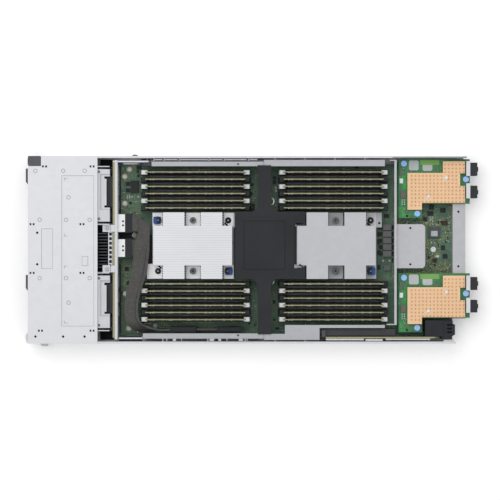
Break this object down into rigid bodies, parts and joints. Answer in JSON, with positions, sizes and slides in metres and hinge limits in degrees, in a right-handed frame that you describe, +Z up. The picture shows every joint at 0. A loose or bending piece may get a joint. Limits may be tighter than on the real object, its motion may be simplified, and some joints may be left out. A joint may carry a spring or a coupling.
{
  "type": "compute sled",
  "caption": "Lidless compute sled with hot-plug drive cage, processors under finned heatsinks, memory banks, air shroud, mezzanine cards and rear plugs",
  "frame": {"origin": "middle of the underside of the base pan, midway between the side walls", "axes": "+X towards the rear plugs, +Y towards the side with the handle lock, +Z up"},
  "size_m": [0.6056, 0.2554, 0.0421],
  "materials": {
    "sheet_steel": null,
    "zinc_handle": null,
    "dark_plastic": null,
    "light_button": null,
    "carrier_plastic": null,
    "drive_case": null,
    "board_laminate": null,
    "white_plastic": null,
    "ribbon_sleeve": null,
    "chip_resin": null,
    "latch_plastic": null,
    "heatsink_metal": null,
    "copper_metal": null,
    "plated_steel": null,
    "blue_plastic": null,
    "socket_resin": null
  },
  "bodies": {
    "chassis": {"air_shroud": "dark_plastic", "backplane_board": "board_laminate", "backplane_bracket": "sheet_steel", "base_pan": "sheet_steel", "board_components": "chip_resin", "cpu_packages": "plated_steel", "cpu_sockets": "socket_resin", "dimm_chips": "chip_resin", "dimm_modules": "board_laminate", "dimm_sockets": "dark_plastic", "drive_cage_cover": "sheet_steel", "drive_cage_frame": "sheet_steel", "drive_sockets": "dark_plastic", "front_panel": "dark_plastic", "handle_pivot_pin": "zinc_handle", "heatsink_clips": "blue_plastic", "heatsink_front": "heatsink_metal", "heatsink_rear": "heatsink_metal", "heatsink_screws": "plated_steel", "latch_housing": "dark_plastic", "mezz_board_1": "board_laminate", "mezz_board_2": "board_laminate", "mezz_connectors": "dark_plastic", "mezz_heatsink_1": "copper_metal", "mezz_heatsink_2": "copper_metal", "mezz_screws": "blue_plastic", "power_connector": "dark_plastic", "rear_bracket": "sheet_steel", "rear_crossbar": "sheet_steel", "ribbon_cable": "ribbon_sleeve", "ribbon_headers": "white_plastic", "ribbon_plugs": "dark_plastic", "riser_board": "board_laminate", "riser_holder": "dark_plastic", "side_brackets": "sheet_steel", "system_board": "board_laminate", "vent_duct": "dark_plastic"},
    "handle": {"release_handle": "zinc_handle"},
    "lock_button": {"release_button": "dark_plastic"},
    "start_button": {"power_button": "light_button"},
    "carrier_1": {"drive_carrier_1": "carrier_plastic", "drive_1": "drive_case"},
    "lever_1": {"carrier_lever_1": "carrier_plastic"},
    "tab_1": {"carrier_button_1": "carrier_plastic"},
    "carrier_2": {"drive_carrier_2": "carrier_plastic", "drive_2": "drive_case"},
    "lever_2": {"carrier_lever_2": "carrier_plastic"},
    "tab_2": {"carrier_button_2": "carrier_plastic"},
    "carrier_3": {"drive_carrier_3": "carrier_plastic", "drive_3": "drive_case"},
    "lever_3": {"carrier_lever_3": "carrier_plastic"},
    "tab_3": {"carrier_button_3": "carrier_plastic"},
    "carrier_4": {"drive_carrier_4": "carrier_plastic", "drive_4": "drive_case"},
    "lever_4": {"carrier_lever_4": "carrier_plastic"},
    "tab_4": {"carrier_button_4": "carrier_plastic"},
    "latches_front_fore": {"dimm_latches_front_fore": "latch_plastic"},
    "latches_front_aft": {"dimm_latches_front_aft": "latch_plastic"},
    "latches_rear_fore": {"dimm_latches_rear_fore": "latch_plastic"},
    "latches_rear_aft": {"dimm_latches_rear_aft": "latch_plastic"}
  },
  "joints": [
    {"name": "handle_swing", "type": "hinge", "parent": "chassis", "child": "handle", "pos_m": [-0.2905, -0.117, 0.0037], "axis": [0, 0, 1], "range_deg": [0, 50]},
    {"name": "lock_push", "type": "slide", "parent": "chassis", "child": "lock_button", "axis": [1, 0, 0], "range_m": [0, 0.0024], "stiffness_N_per_m": 400},
    {"name": "start_push", "type": "slide", "parent": "chassis", "child": "start_button", "axis": [1, 0, 0], "range_m": [0, 0.0014], "stiffness_N_per_m": 400},
    {"name": "carrier_1_slide", "type": "slide", "parent": "chassis", "child": "carrier_1", "axis": [-1, 0, 0], "range_m": [0, 0.12]},
    {"name": "lever_1_swing", "type": "hinge", "parent": "carrier_1", "child": "lever_1", "pos_m": [-0.2963, 0.0392, 0.0324], "axis": [0, 0, 1], "range_deg": [0, 55]},
    {"name": "tab_1_push", "type": "slide", "parent": "carrier_1", "child": "tab_1", "axis": [1, 0, 0], "range_m": [0, 0.002], "stiffness_N_per_m": 400},
    {"name": "carrier_2_slide", "type": "slide", "parent": "chassis", "child": "carrier_2", "axis": [-1, 0, 0], "range_m": [0, 0.12]},
    {"name": "lever_2_swing", "type": "hinge", "parent": "carrier_2", "child": "lever_2", "pos_m": [-0.2963, 0.0392, 0.0145], "axis": [0, 0, 1], "range_deg": [0, 55]},
    {"name": "tab_2_push", "type": "slide", "parent": "carrier_2", "child": "tab_2", "axis": [1, 0, 0], "range_m": [0, 0.002], "stiffness_N_per_m": 400},
    {"name": "carrier_3_slide", "type": "slide", "parent": "chassis", "child": "carrier_3", "axis": [-1, 0, 0], "range_m": [0, 0.12]},
    {"name": "lever_3_swing", "type": "hinge", "parent": "carrier_3", "child": "lever_3", "pos_m": [-0.2963, -0.10275, 0.0324], "axis": [0, 0, 1], "range_deg": [0, 55]},
    {"name": "tab_3_push", "type": "slide", "parent": "carrier_3", "child": "tab_3", "axis": [1, 0, 0], "range_m": [0, 0.002], "stiffness_N_per_m": 400},
    {"name": "carrier_4_slide", "type": "slide", "parent": "chassis", "child": "carrier_4", "axis": [-1, 0, 0], "range_m": [0, 0.12]},
    {"name": "lever_4_swing", "type": "hinge", "parent": "carrier_4", "child": "lever_4", "pos_m": [-0.2963, -0.10275, 0.0145], "axis": [0, 0, 1], "range_deg": [0, 55]},
    {"name": "tab_4_push", "type": "slide", "parent": "carrier_4", "child": "tab_4", "axis": [1, 0, 0], "range_m": [0, 0.002], "stiffness_N_per_m": 400},
    {"name": "latches_front_fore_turn", "type": "hinge", "parent": "chassis", "child": "latches_front_fore", "pos_m": [-0.146, 0.0053, 0.0095], "axis": [0, -1, 0], "range_deg": [0, 22]},
    {"name": "latches_front_aft_turn", "type": "hinge", "parent": "chassis", "child": "latches_front_aft", "pos_m": [-0.0056, 0.0053, 0.0095], "axis": [0, 1, 0], "range_deg": [0, 22]},
    {"name": "latches_rear_fore_turn", "type": "hinge", "parent": "chassis", "child": "latches_rear_fore", "pos_m": [0.0388, 0.0053, 0.0095], "axis": [0, -1, 0], "range_deg": [0, 22]},
    {"name": "latches_rear_aft_turn", "type": "hinge", "parent": "chassis", "child": "latches_rear_aft", "pos_m": [0.1792, 0.0053, 0.0095], "axis": [0, 1, 0], "range_deg": [0, 22]}
  ]
}
